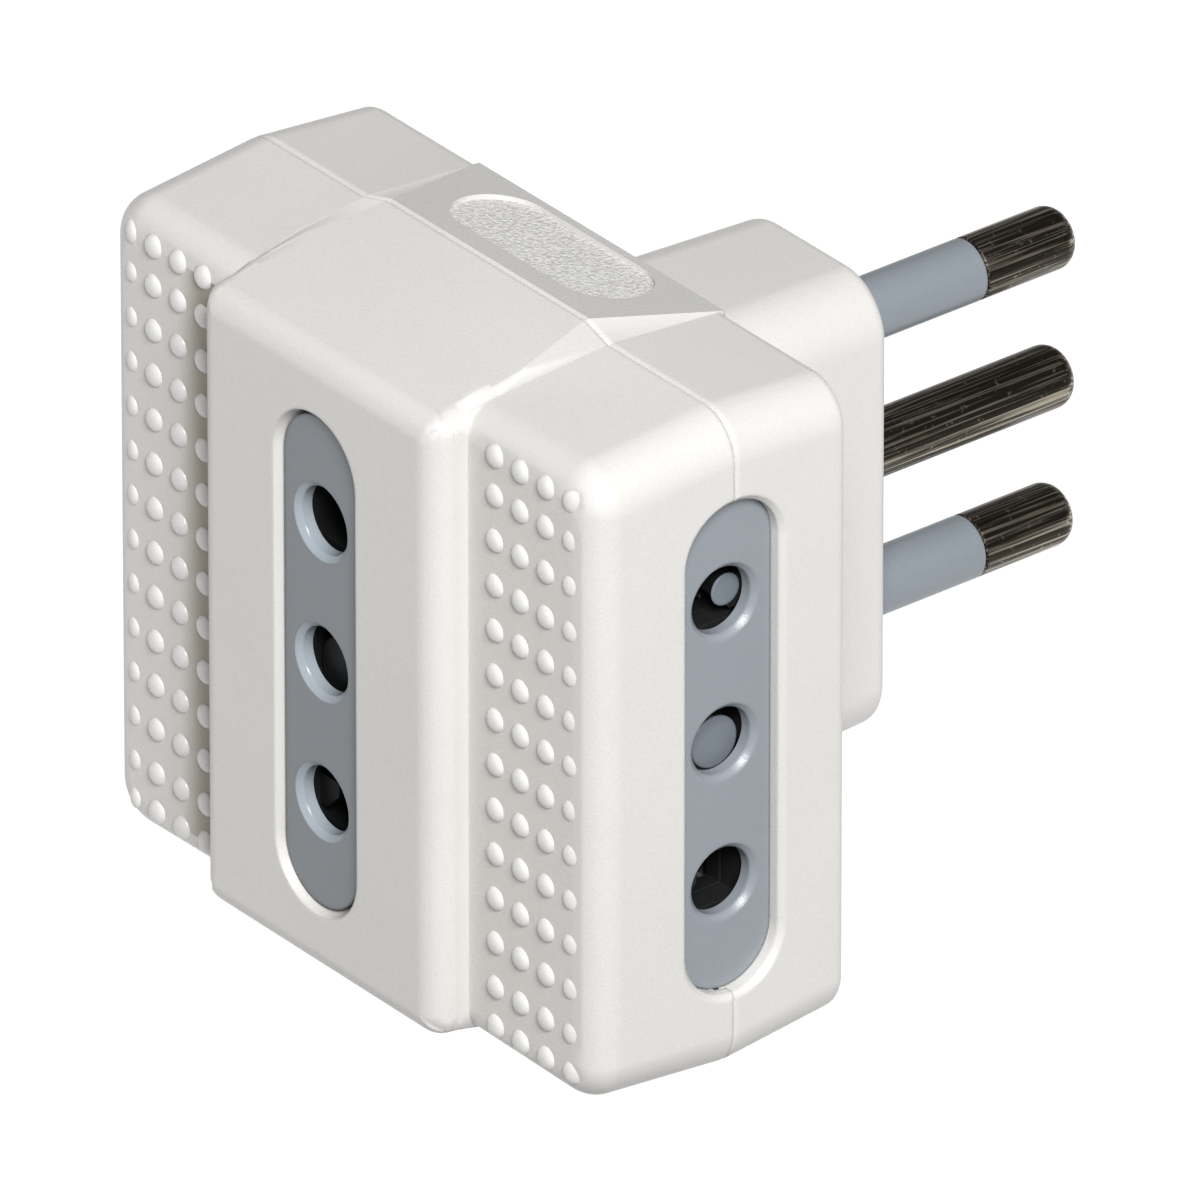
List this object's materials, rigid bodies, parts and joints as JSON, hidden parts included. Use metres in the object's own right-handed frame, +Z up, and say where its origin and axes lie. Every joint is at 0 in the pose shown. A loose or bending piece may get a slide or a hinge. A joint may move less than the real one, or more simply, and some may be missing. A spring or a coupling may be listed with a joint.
{
  "type": "multi socket adapter",
  "caption": "White in-line plug adapter with sleeved round pins behind and a shuttered three-hole socket on the front and on each side.",
  "frame": {"origin": "root of the earth pin: on its axis, in the plug's end face", "axes": "+Y along the plug pins, out of the plug; +Z up along the row of pins; +X to the right-hand socket, seen from the front socket"},
  "size_m": [0.0468, 0.057, 0.0458],
  "materials": {
    "housing": "warm white moulded plastic, finely textured",
    "insert": "blue-grey moulded plastic, satin",
    "shutter": "mid-grey moulded plastic, satin",
    "sleeve": "blue-grey insulating sleeve, satin",
    "pin_metal": "turned, nickel-plated brass, dark reflections",
    "contact_brass": "bare stamped brass sheet",
    "spring_steel": "bright steel strip"
  },
  "bodies": {
    "housing": {"front_shell": "housing", "rear_shell": "housing", "front_socket_insert": "insert", "front_guide_plate": "insert", "front_shutter_spring": "spring_steel", "right_socket_insert": "insert", "right_guide_plate": "insert", "right_shutter_spring": "spring_steel", "left_socket_insert": "insert", "left_guide_plate": "insert", "left_shutter_spring": "spring_steel", "line_bus_strip": "contact_brass", "line_pin": "pin_metal", "line_pin_sleeve": "sleeve", "front_line_clip": "contact_brass", "right_line_clip": "contact_brass", "left_line_clip": "contact_brass", "earth_bus_strip": "contact_brass", "earth_pin": "pin_metal", "front_earth_clip": "contact_brass", "right_earth_clip": "contact_brass", "left_earth_clip": "contact_brass", "neutral_bus_strip": "contact_brass", "neutral_pin": "pin_metal", "neutral_pin_sleeve": "sleeve", "front_neutral_clip": "contact_brass", "right_neutral_clip": "contact_brass", "left_neutral_clip": "contact_brass"},
    "front_slider": {"front_shutter": "shutter"},
    "right_slider": {"right_shutter": "shutter"},
    "left_slider": {"left_shutter": "shutter"}
  },
  "joints": [
    {"name": "front_shutter_slide", "type": "slide", "parent": "housing", "child": "front_slider", "axis": [0, 0, 1], "range_m": [-0.0033, 0], "stiffness_N_per_m": 120, "springref_m": 0.003, "deforming": ["front_shutter_spring"]},
    {"name": "right_shutter_slide", "type": "slide", "parent": "housing", "child": "right_slider", "axis": [0, 0, 1], "range_m": [-0.0033, 0], "stiffness_N_per_m": 120, "springref_m": 0.003, "deforming": ["right_shutter_spring"]},
    {"name": "left_shutter_slide", "type": "slide", "parent": "housing", "child": "left_slider", "axis": [0, 0, 1], "range_m": [-0.0033, 0], "stiffness_N_per_m": 120, "springref_m": 0.003, "deforming": ["left_shutter_spring"]}
  ]
}
